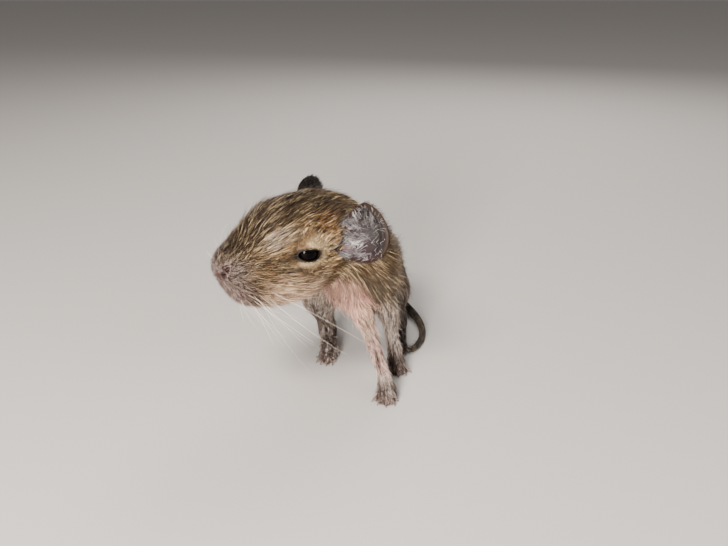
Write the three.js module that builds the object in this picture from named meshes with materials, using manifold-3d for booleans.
// A young degu, one to two weeks old, as a life-size still model: it stands with its head turned to its
// own right.
// Millimetres, +Z up. The animal faces -Y, its left side is +X, and the floor it stands on is Z = 0.
import * as THREE from "three";
import Module from "manifold-3d";

const wasm = await Module();
wasm.setup();

// Driving dimensions
const HEAD_LENGTH = 35;
const HEAD_CENTRE = [0, 0, 36.5];
const HEAD_YAW = 58; // degrees, turned to the animal's own right
const HEAD_PITCH = 14; // degrees, nose down
const HEAD_ROLL = 20; // degrees, left cheek down
const CHEST_RADIUS = 7.8;
const BELLY_RADIUS = 8.9;
const RUMP_RADIUS = 9.1;
const EYE_RADIUS = 3.1;
const EYE_SLIT = [2.6, 1.25]; // half length and half height of the half-closed eye
const EYE_TILT = 20; // degrees, the front corner raised
const LID_THICKNESS = 0.55;
const EAR_HEIGHT = 10.5;
const EAR_WIDTH = 13;
const EAR_THICKNESS = 0.6;
const EAR_TIP_AT = 0.25;
const EAR_TIP_SPAN = 0.9;
const TAIL_ROOT_RADIUS = 1.9;
const TAIL_TIP_RADIUS = 0.75;
const FORE_TOE = { length: 3.5, radius: 0.92 };
const HIND_TOE = { length: 3.8, radius: 0.95 };
const CLAW_LENGTH = 1.7;
const SKIN_GAP = 0.3; // between touching pieces

const radians = THREE.MathUtils.degToRad;
const vec = (x, y, z) => new THREE.Vector3(x, y, z);
const sides = { right: -1, left: 1 };

// The head's own frame: x forward to the nose, y to the animal's left, z to the crown
const headTurn = new THREE.Matrix4().makeRotationFromEuler(
  new THREE.Euler(radians(-HEAD_ROLL), radians(HEAD_PITCH), radians(180 + 90 - HEAD_YAW), "ZYX"),
);
const headFrame = new THREE.Matrix4().makeTranslation(...HEAD_CENTRE).multiply(headTurn);
const headInverse = headFrame.clone().invert();
const inHead = (x, y, z) => vec(x, y, z).applyMatrix4(headFrame);
const alongHead = (x, y, z) => vec(x, y, z).transformDirection(headFrame);

// Distances to simple rounded forms
const clamp01 = (t) => Math.min(1, Math.max(0, t));
function ball(centre, radii, frame = new THREE.Matrix4()) {
  const inverse = frame.clone().invert();
  const c = vec(...centre);
  const q = vec(0, 0, 0);
  return (p) => {
    q.copy(p).applyMatrix4(inverse).sub(c);
    const k0 = Math.hypot(q.x / radii[0], q.y / radii[1], q.z / radii[2]);
    const k1 = Math.hypot(q.x / radii[0] ** 2, q.y / radii[1] ** 2, q.z / radii[2] ** 2);
    return k1 < 1e-9 ? -Math.min(...radii) : (k0 * (k0 - 1)) / k1;
  };
}
function limb(a, b, ra, rb) {
  const along = b.clone().sub(a);
  const length2 = along.lengthSq();
  const q = vec(0, 0, 0);
  return (p) => {
    q.copy(p).sub(a);
    const t = clamp01(q.dot(along) / length2);
    q.addScaledVector(along, -t);
    return q.length() - (ra + (rb - ra) * t);
  };
}
const melt = (a, b, k) => {
  const h = Math.max(k - Math.abs(a - b), 0) / k;
  return Math.min(a, b) - (h * h * k) / 4;
};
const meltAll = (forms, k) => (p) => forms.reduce((d, f) => melt(d, f(p), k), 1e3);

// Skull and muzzle as stations along the head: x, top, bottom, half width
const noseX = HEAD_LENGTH / 2;
const headStations = [
  [-15.5, 1.6, -8.5, 5.6],
  [-11.5, 4.6, -11.4, 7.9],
  [-6.5, 7.2, -12.8, 9.2],
  [-1.0, 8.4, -13.2, 9.4],
  [4.0, 8.6, -12.8, 8.8],
  [7.5, 7.0, -12.2, 7.9],
  [10.0, 4.6, -11.6, 7.0],
  [12.5, 3.4, -10.6, 5.8],
  [15.5, 2.5, -8.2, 4.3],
  [noseX - 0.6, 1.4, -4.8, 2.6],
];
function stationAt(x) {
  const last = headStations.length - 1;
  let i = 0;
  while (i < last - 1 && x > headStations[i + 1][0]) i++;
  const t = clamp01((x - headStations[i][0]) / (headStations[i + 1][0] - headStations[i][0]));
  const s = t * t * (3 - 2 * t) * 0.5 + t * 0.5;
  return headStations[i].map((value, n) => value + (headStations[i + 1][n] - value) * s);
}
function skull(p) {
  const q = p.clone().applyMatrix4(headInverse);
  const [, top, bottom, wide] = stationAt(q.x);
  const tall = (top - bottom) / 2;
  const z = q.z - (top + bottom) / 2;
  const around = (Math.hypot(q.y / wide, z / tall) - 1) * Math.min(wide, tall);
  const beyond = Math.max(headStations[0][0] - q.x, q.x - headStations.at(-1)[0], 0);
  return beyond > 0 ? Math.hypot(beyond, Math.max(around + 0.6, 0)) - 0.6 : around;
}
const eyeAt = { right: inHead(0.2, -6.4, 0.4), left: inHead(0.2, 6.4, 0.4) };
const headForms = [skull];
const lidForms = [];
for (const [name, s] of Object.entries(sides)) {
  headForms.push(ball([11.0, s * 3.2, -6.0], [4.8, 3.8, 4.6], headFrame));
  headForms.push(ball([2.0, s * 5.0, -8.0], [7.8, 4.4, 4.6], headFrame));
  const eye = eyeAt[name];
  lidForms.push((p) => p.distanceTo(eye) - EYE_RADIUS - SKIN_GAP - LID_THICKNESS);
}
headForms.push(ball([noseX - 2, 0, -1], [1.4, 2.2, 1.6], headFrame));
const face = meltAll(headForms, 3.5);
const head = (p) => lidForms.reduce((d, f) => melt(d, f(p), 1.2), face(p));

// Torso and neck
const chest = vec(15.2, 9, 24.2);
const belly = vec(14.6, 22, 22);
const rump = vec(14, 35, 20.5);
const nape = inHead(-10.5, 0, -5);
const trunk = meltAll([
  limb(nape, chest, 6.8, CHEST_RADIUS),
  limb(chest, belly, CHEST_RADIUS, BELLY_RADIUS),
  limb(belly, rump, BELLY_RADIUS, RUMP_RADIUS),
], 5);

// Limbs, each a chain of joints with a radius
const forePaw = { right: vec(21.2, -6.4, 1.3), left: vec(23.6, 6.8, 1.3) };
const forearmTop = { right: vec(15.8, 0.8, 16.6), left: vec(21.6, 8.4, 14.6) };
const foreWrist = { right: vec(20.4, -4.4, 4.2), left: vec(23.3, 8.4, 4.2) };
const hindToes = { right: vec(7.3, 12.6, 1.3), left: vec(24.2, 17.6, 1.3) };
const limbForms = [];
for (const [name, s] of Object.entries(sides)) {
  const shoulder = vec(chest.x + s * 4.2, chest.y + 0.5, chest.z - 3);
  limbForms.push(meltAll([
    limb(shoulder, forearmTop[name], 4, 2.2),
    limb(forearmTop[name], foreWrist[name], 2.0, 1.25),
    limb(foreWrist[name], forePaw[name], 1.35, 2.1),
  ], 2));
  const toes = hindToes[name];
  const hip = vec(rump.x + s * 5.4, rump.y - 2, rump.z - 2);
  const knee = vec(rump.x + s * 9.4, toes.y + 10, 12);
  const heel = vec(toes.x + s * 0.8, toes.y + 12.5, 2.2);
  limbForms.push(meltAll([
    limb(hip, knee, 6.6, 4.2),
    limb(knee, heel, 3.2, 1.6),
    limb(heel, toes, 1.6, 2.0),
  ], 3));
}
const limbsOnto = (d, p) => limbForms.reduce((near, f) => melt(near, f(p), 3), d);
const whole = (p) => limbsOnto(melt(head(p), trunk(p), 5), p);

// A closed mesh of the surface where a field is zero, on a grid whose steps may vary: every cell that the
// surface passes gets one point for each sheet of it, and four points join round every grid edge it crosses
function surface(field, xs, ys, zs) {
  const count = [xs.length, ys.length, zs.length];
  const grid = [xs, ys, zs];
  const at = (c) => (c[2] * count[1] + c[1]) * count[0] + c[0];
  const value = new Float64Array(count[0] * count[1] * count[2]);
  const p = vec(0, 0, 0);
  const each = (from, to, run) => {
    for (let k = from; k < count[2] - to; k++)
      for (let j = from; j < count[1] - to; j++)
        for (let i = from; i < count[0] - to; i++) run([i, j, k]);
  };
  each(0, 0, (c) => {
    value[at(c)] = field(p.set(xs[c[0]], ys[c[1]], zs[c[2]]));
  });
  const moved = (c, axis, by) => c.map((n, m) => (m === axis ? n + by : n));
  const crossing = (c, id) => {
    const axis = id >> 2;
    const a = moved(moved(c, (axis + 1) % 3, id & 1), (axis + 2) % 3, (id >> 1) & 1);
    const b = moved(a, axis, 1);
    const va = value[at(a)];
    const vb = value[at(b)];
    if (va < 0 === vb < 0) return null;
    const [pa, pb] = [a, b].map((q) => vec(...q.map((n, m) => grid[m][n])));
    return pa.lerp(pb, va / (va - vb));
  };
  const pointOf = new Map();
  const points = [];
  each(0, 1, (c) => {
    const hits = [...Array(12).keys()].map((id) => crossing(c, id));
    if (!hits.some(Boolean)) return;
    const group = [...Array(12).keys()];
    const tie = (a, b) => {
      const [from, to] = [group[a], group[b]];
      group.forEach((g, n) => {
        if (g === from) group[n] = to;
      });
    };
    for (let f = 0; f < 3; f++)
      for (const side of [0, 1]) {
        const [A, B] = [(f + 1) % 3, (f + 2) % 3];
        const [a0, a1] = [A * 4 + 2 * side, A * 4 + 1 + 2 * side];
        const [b0, b1] = [B * 4 + side, B * 4 + 2 + side];
        const hit = [a0, a1, b0, b1].filter((id) => hits[id]);
        if (hit.length === 2) tie(...hit);
        if (hit.length === 4) {
          const inside = value[at(moved(c, f, side))] < 0;
          tie(a0, inside ? b0 : b1);
          tie(a1, inside ? b1 : b0);
        }
      }
    for (const g of new Set(group)) {
      const ids = group.flatMap((n, id) => (n === g && hits[id] ? [id] : []));
      if (!ids.length) continue;
      const mean = ids.reduce((sum, id) => sum.add(hits[id]), vec(0, 0, 0)).divideScalar(ids.length);
      for (const id of ids) pointOf.set(at(c) * 12 + id, points.length);
      points.push(mean);
    }
  });
  const faces = [];
  each(1, 1, (c) => {
    for (let axis = 0; axis < 3; axis++) {
      const inside = value[at(c)] < 0;
      if (inside === value[at(moved(c, axis, 1))] < 0) continue;
      const [A, B] = [(axis + 1) % 3, (axis + 2) % 3];
      const corner = (u, v) => pointOf.get(at(moved(moved(c, A, -u), B, -v)) * 12 + axis * 4 + u + 2 * v);
      const ring = [corner(1, 1), corner(0, 1), corner(0, 0), corner(1, 0)];
      if (!inside) ring.reverse();
      faces.push(ring[0], ring[1], ring[2], ring[0], ring[2], ring[3]);
    }
  });
  return solid(points, faces);
}
const steps = (from, to, stepAt) => {
  const out = [from];
  while (out.at(-1) < to) out.push(out.at(-1) + stepAt(out.at(-1)));
  return out;
};

// Solids that can be joined and cut
function solid(points, faces) {
  const mesh = new wasm.Mesh({
    numProp: 3,
    vertProperties: new Float32Array(points.flatMap((q) => [q.x, q.y, q.z])),
    triVerts: new Uint32Array(faces),
  });
  mesh.merge();
  return new wasm.Manifold(mesh);
}
function fromGeometry(geometry, place = new THREE.Matrix4()) {
  const position = geometry.attributes.position;
  const points = [];
  for (let i = 0; i < position.count; i++) {
    points.push(vec(0, 0, 0).fromBufferAttribute(position, i).applyMatrix4(place));
  }
  return solid(points, [...geometry.index.array]);
}
const largest = (form) => form.decompose().reduce((a, b) => (b.volume() > a.volume() ? b : a));
const frameOf = (centre, x, y, z) => new THREE.Matrix4().makeBasis(x, y, z).setPosition(centre);
function sphere(centre, radii, basis = new THREE.Matrix4(), detail = 16) {
  const place = new THREE.Matrix4().makeTranslation(centre).multiply(basis).scale(vec(...radii));
  return fromGeometry(new THREE.SphereGeometry(1, detail * 2, detail), place);
}
// Everything on the far side of a plane: a large block whose near face lies on it
function beyond(point, normal, offset) {
  const z = normal.clone().normalize();
  const x = vec(-z.y, z.x, 0).normalize();
  const y = z.clone().cross(x);
  const centre = point.clone().addScaledVector(z, 75 + offset);
  return fromGeometry(new THREE.BoxGeometry(150, 150, 150), frameOf(centre, x, y, z));
}
function block(low, high) {
  const size = vec(...high).sub(vec(...low));
  const centre = vec(...low).addScaledVector(size, 0.5);
  const place = new THREE.Matrix4().makeTranslation(centre);
  return fromGeometry(new THREE.BoxGeometry(size.x, size.y, size.z), place);
}
// A round bar through points, with a radius at each
function bar(points, radii, around) {
  const rings = [];
  let across = vec(0, 0, 1);
  points.forEach((p, i) => {
    const next = points[Math.min(i + 1, points.length - 1)];
    const along = next.clone().sub(points[Math.max(i - 1, 0)]).normalize();
    const side = along.clone().cross(across);
    if (side.length() < 0.05) side.copy(along.clone().cross(vec(1, 0, 0)));
    side.normalize();
    across = side.clone().cross(along).normalize();
    for (let n = 0; n < around; n++) {
      const a = (n / around) * Math.PI * 2;
      const out = side.clone().multiplyScalar(Math.cos(a)).addScaledVector(across, Math.sin(a));
      rings.push(p.clone().addScaledVector(out, radii[i]));
    }
  });
  const first = rings.length;
  rings.push(points[0].clone(), points.at(-1).clone());
  const faces = [];
  for (let i = 0; i < points.length - 1; i++)
    for (let n = 0; n < around; n++) {
      const m = (n + 1) % around;
      const a = i * around + n;
      const b = i * around + m;
      faces.push(a, a + around, b, b, a + around, b + around);
    }
  const end = (points.length - 1) * around;
  for (let n = 0; n < around; n++) {
    const m = (n + 1) % around;
    faces.push(first, n, m);
    faces.push(first + 1, end + m, end + n);
  }
  return solid(rings, faces);
}

// The whole animal in one mesh, finer at the face, and its legs once more on a finer grid
const xs = steps(-22, 34, (x) => (x < 9 ? 1.2 : 1.8));
const ys = steps(-22, 50, (y) => (y < 9 ? 1.2 : 2.2));
const zs = steps(4, 52, (z) => (z > 24 ? 1.2 : 1.6));
const body = surface((p) => Math.max(whole(p), 6.5 - p.z), xs, ys, zs);
const grown = surface((p) => Math.max(whole(p) - SKIN_GAP, 6 - p.z), xs, ys, zs);
const LEG_GRID = 1.29;
const legBody = surface(
  (p) => Math.max(limbsOnto(trunk(p), p), p.z - 23),
  steps(-4, 34, () => LEG_GRID),
  steps(-14, 46, () => LEG_GRID),
  steps(-3, 25, () => LEG_GRID),
);

// Toes with their claws, fanned from the front of each foot
function toeFan(foot, heading, spread, count, size, shorter) {
  const out = [];
  for (let i = 0; i < count; i++) {
    const across = (i / (count - 1)) * 2 - 1;
    const turn = radians(heading + across * spread);
    const way = vec(Math.sin(turn), -Math.cos(turn), 0);
    const reach = size.length * (i === shorter ? 0.6 : 1.04 - 0.16 * Math.abs(across));
    const r = size.radius;
    const level = r * 0.86;
    const at = (d, h) => vec(foot.x, foot.y, h).addScaledVector(way, d);
    const claw = at(reach, level);
    out.push(bar(
      [at(0, level + 0.5), at(reach * 0.55, level + 0.45), at(reach - r, level + 0.1), claw,
        claw.clone().addScaledVector(way, 0.35), claw.clone().addScaledVector(way, CLAW_LENGTH).setZ(0.12)],
      [r, r, r * 1.05, r * 0.8, 0.4, 0.1],
      7,
    ));
  }
  return out;
}
const join = (forms) => forms.reduce((a, b) => a.add(b));
const floorBlock = block([-60, -60, -20], [80, 90, 0]);

// Leg pieces: a block round each leg below the trunk, and the rounded thigh above the hind ones
const half = SKIN_GAP / 2;
const FORE_TOP = 14.2;
const HIND_TOP = 10.3;
const FRONT_SPLIT = 1.7;
const LEFT_SPLIT = 11.4;
const MIDDLE = 16;
const legBlocks = {
  foreleg_right: (g) => block([-50, -50, -20], [70, FRONT_SPLIT + g, FORE_TOP + g]),
  foreleg_left: (g) => block([MIDDLE - g, FRONT_SPLIT - g, -20], [70, LEFT_SPLIT + g, FORE_TOP + g]),
  hindleg_right: (g) => block([-50, FRONT_SPLIT - g, -20], [MIDDLE + g, 90, HIND_TOP + g]),
  hindleg_left: (g) => block([MIDDLE - g, LEFT_SPLIT - g, -20], [70, 90, HIND_TOP + g]),
};
const thigh = (s, g) => {
  const centre = vec(rump.x + s * 10.5, hindToes[s > 0 ? "left" : "right"].y + 11.5, 13.5);
  return sphere(centre, [5.2 + g, 7.5 + g, 8 + g], new THREE.Matrix4().makeRotationX(radians(-35)), 9);
};
const legRegion = (name, g) => {
  const region = legBlocks[name](g);
  if (name.startsWith("hind")) return region.add(thigh(sides[name.slice(8)], g));
  return region;
};

// Head, neck and torso part across the neck
const neckWay = chest.clone().sub(nape).normalize();
const headBack = neckWay.clone().addScaledVector(alongHead(-1, 0, 0), 1).normalize();
const headPlane = nape.clone().addScaledVector(headBack, 1.5);
const torsoPlane = nape.clone().lerp(chest, 0.45);
const torsoWay = vec(0.3, 0.68, -0.66).normalize();

const parts = {};
const legNames = Object.keys(legBlocks);
const pawTurn = { foreleg_right: -6, foreleg_left: 4, hindleg_right: -6, hindleg_left: 8 };
for (const name of legNames) {
  const side = name.slice(8);
  const isFore = name.startsWith("fore");
  const foot = (isFore ? forePaw : hindToes)[side];
  const inner = side === "left" ? 0 : 4;
  const fan = toeFan(foot, pawTurn[name], isFore ? 52 : 36, 5, isFore ? FORE_TOE : HIND_TOE, inner);
  const leg = legBody.intersect(legRegion(name, -half)).subtract(floorBlock);
  parts[name] = largest(join([largest(leg), ...fan]).subtract(floorBlock));
}
let upper = body;
for (const name of legNames) upper = upper.subtract(legRegion(name, half));
upper = largest(upper);
const behindHead = upper.intersect(beyond(headPlane, headBack, half));
parts.head = upper.subtract(beyond(headPlane, headBack, -half));
parts.neck = largest(largest(behindHead).subtract(beyond(torsoPlane, torsoWay, -half)));
parts.torso = largest(largest(behindHead).intersect(beyond(torsoPlane, torsoWay, half)));

// Eyes in their sockets, and the slit between the lids
for (const [name, s] of Object.entries(sides)) {
  const outward = alongHead(0.12, s * 0.93, 0.34);
  const forward = alongHead(1, 0, 0).addScaledVector(outward, -outward.dot(alongHead(1, 0, 0))).normalize();
  const up = forward.clone().cross(outward).multiplyScalar(s);
  const basis = new THREE.Matrix4().makeBasis(forward, up, outward.clone().multiplyScalar(-s))
    .multiply(new THREE.Matrix4().makeRotationZ(radians(EYE_TILT)));
  parts["eye_" + name] = sphere(eyeAt[name], [EYE_RADIUS, EYE_RADIUS, EYE_RADIUS], basis, 8);
  const room = EYE_RADIUS + SKIN_GAP;
  const slitAt = eyeAt[name].clone().addScaledVector(outward, EYE_RADIUS);
  parts.head = parts.head
    .subtract(sphere(eyeAt[name], [room, room, room], basis, 10))
    .subtract(sphere(slitAt, [EYE_SLIT[0], EYE_SLIT[1], 3], basis, 10));
}

// Nostrils, the cleft below the nose and the line of the mouth, all set on the surface of the muzzle
function onHead(from, way) {
  const start = inHead(...from);
  const step = alongHead(...way);
  let [near, far] = [0, 20];
  for (let i = 0; i < 30; i++) {
    const mid = (near + far) / 2;
    if (head(start.clone().addScaledVector(step, mid)) < 0) near = mid;
    else far = mid;
  }
  return start.addScaledVector(step, near);
}
const features = [];
for (const s of [-1, 1]) {
  const at = onHead([noseX - 4, 0, -1.4], [0.8, s * 0.52, 0.28]);
  const lean = new THREE.Matrix4().makeRotationX(radians(s * 35));
  features.push(sphere(at, [0.8, 0.95, 0.45], headTurn.clone().multiply(lean), 8));
}
const mouth = [];
for (let i = 0; i <= 16; i++) {
  const a = radians(((i / 16) * 2 - 1) * 78);
  mouth.push(onHead([8, 0, -7.6], [Math.cos(a), Math.sin(a), -0.12 - 0.1 * Math.cos(a)]));
}
features.push(bar(mouth, mouth.map((p, i) => (i % 16 ? 0.42 : 0.1)), 6));
const cleft = [0, 1, 2, 3, 4].map((i) => onHead([9, 0, -5], [1, 0, 0.28 - i * 0.14]));
features.push(bar(cleft, [0.1, 0.3, 0.32, 0.32, 0.32], 6));
for (const cut of features) parts.head = parts.head.subtract(cut);
parts.head = largest(parts.head);

// Cupped ears, cut to sit on the head
function earShell(centre, axis, facing, tall, wide, peak) {
  const y = axis.clone().normalize();
  const z = facing.clone().addScaledVector(y, -facing.dot(y)).normalize();
  const x = y.clone().cross(z);
  const rings = 6;
  const around = 22;
  const points = [];
  const shape = (r, a, back) => {
    const u = Math.sin(a) * r;
    const v = Math.cos(a) * r;
    const tip = Math.max(0, 1 - Math.abs(v - EAR_TIP_AT) / EAR_TIP_SPAN);
    const narrow = (1 - 0.16 * (1 - v)) * (u < 0 ? 1 + peak * tip : 1);
    const cup = 2.7 * (1 - r * r) * (1 - 0.35 * v) - 0.7 * r * r * Math.abs(u);
    const bowl = cup + 1.9 * Math.max(0, -v) ** 2;
    const lift = back ? -EAR_THICKNESS * (1 - 0.35 * r) : 0;
    return centre.clone()
      .addScaledVector(x, (u * narrow * wide) / 2)
      .addScaledVector(y, (v + 0.62) * tall * 0.6)
      .addScaledVector(z, -bowl + lift);
  };
  for (const back of [false, true]) {
    for (let i = 1; i <= rings; i++)
      for (let n = 0; n < around; n++) {
        const a = (n / around) * Math.PI * 2;
        points.push(shape(i / rings, a, back));
      }
    points.push(shape(0, 0, back));
  }
  const faces = [];
  const sheet = rings * around + 1;
  const add = (a, b, c, flip) => (flip ? faces.push(a, c, b) : faces.push(a, b, c));
  for (const back of [0, 1]) {
    const o = back * sheet;
    for (let n = 0; n < around; n++) {
      const m = (n + 1) % around;
      add(o + sheet - 1, o + m, o + n, back);
      for (let i = 0; i < rings - 1; i++) {
        const a = o + i * around;
        add(a + n, a + m, a + around + m, back);
        add(a + n, a + around + m, a + around + n, back);
      }
    }
  }
  const rim = (rings - 1) * around;
  for (let n = 0; n < around; n++) {
    const m = (n + 1) % around;
    faces.push(rim + n, rim + m, sheet + rim + m, rim + n, sheet + rim + m, sheet + rim + n);
  }
  return solid(points, faces);
}
const earSet = {
  left: { at: [-7.6, 9.4, 1.3], axis: [-0.93, 0.28, -0.1], facing: [0.22, 0.72, 0.66], peak: 0.32 },
  right: { at: [-6.6, -8.5, -2], axis: [-0.89, -0.37, -0.24], facing: [0.28, -0.94, -0.16], peak: 0 },
};
for (const [name, ear] of Object.entries(earSet)) {
  const [axis, facing] = [alongHead(...ear.axis), alongHead(...ear.facing)];
  const shell = earShell(inHead(...ear.at), axis, facing, EAR_HEIGHT, EAR_WIDTH, ear.peak);
  parts["ear_" + name] = largest(shell.subtract(grown));
}

// The tail leaves the rump, drops to the floor and curls round to the animal's left
const tailPath = new THREE.CatmullRomCurve3([
  vec(14.4, 40, 18), vec(16, 45, 13.5), vec(21, 46, 6.5), vec(26.4, 41.5, 2.2),
  vec(30, 34, 1.1), vec(31.2, 26.5, 0.95), vec(30.2, 19.5, 0.8), vec(27.6, 14.6, 0.7),
], false, "centripetal");
const TAIL_STEPS = 26;
const tailPoints = tailPath.getSpacedPoints(TAIL_STEPS);
const thinning = (i) => (TAIL_TIP_RADIUS - TAIL_ROOT_RADIUS) * (i / TAIL_STEPS) ** 0.7;
const tailRadii = tailPoints.map((_, i) => TAIL_ROOT_RADIUS + thinning(i));
tailRadii[TAIL_STEPS] = 0.3;
parts.tail = largest(bar(tailPoints, tailRadii, 10).subtract(grown).subtract(floorBlock));

const colours = {
  head: 0x8d7a58, neck: 0x857356, torso: 0x7f7152, tail: 0x2a2622,
  foreleg_right: 0xb8a196, foreleg_left: 0x9c9689, hindleg_right: 0x8e877b, hindleg_left: 0x8e877b,
  ear_left: 0x6b5a58, ear_right: 0x6b5a58, eye_left: 0x0c0a0a, eye_right: 0x0c0a0a,
};
const root = new THREE.Group();
for (const [name, colour] of Object.entries(colours)) {
  const mesh = parts[name].getMesh();
  const geometry = new THREE.BufferGeometry();
  geometry.setAttribute("position", new THREE.Float32BufferAttribute(mesh.vertProperties, 3));
  geometry.setIndex([...mesh.triVerts]);
  const roughness = name.startsWith("eye") ? 0.1 : 0.85;
  const material = new THREE.MeshStandardMaterial({ color: colour, roughness, metalness: 0 });
  const node = new THREE.Mesh(geometry, material);
  node.name = name;
  root.add(node);
}

// The origin is the middle of the footprint, on the floor
const box = new THREE.Box3().setFromObject(root);
const middle = box.getCenter(vec(0, 0, 0));
for (const node of root.children) node.geometry.translate(-middle.x, -middle.y, 0);
export default root;
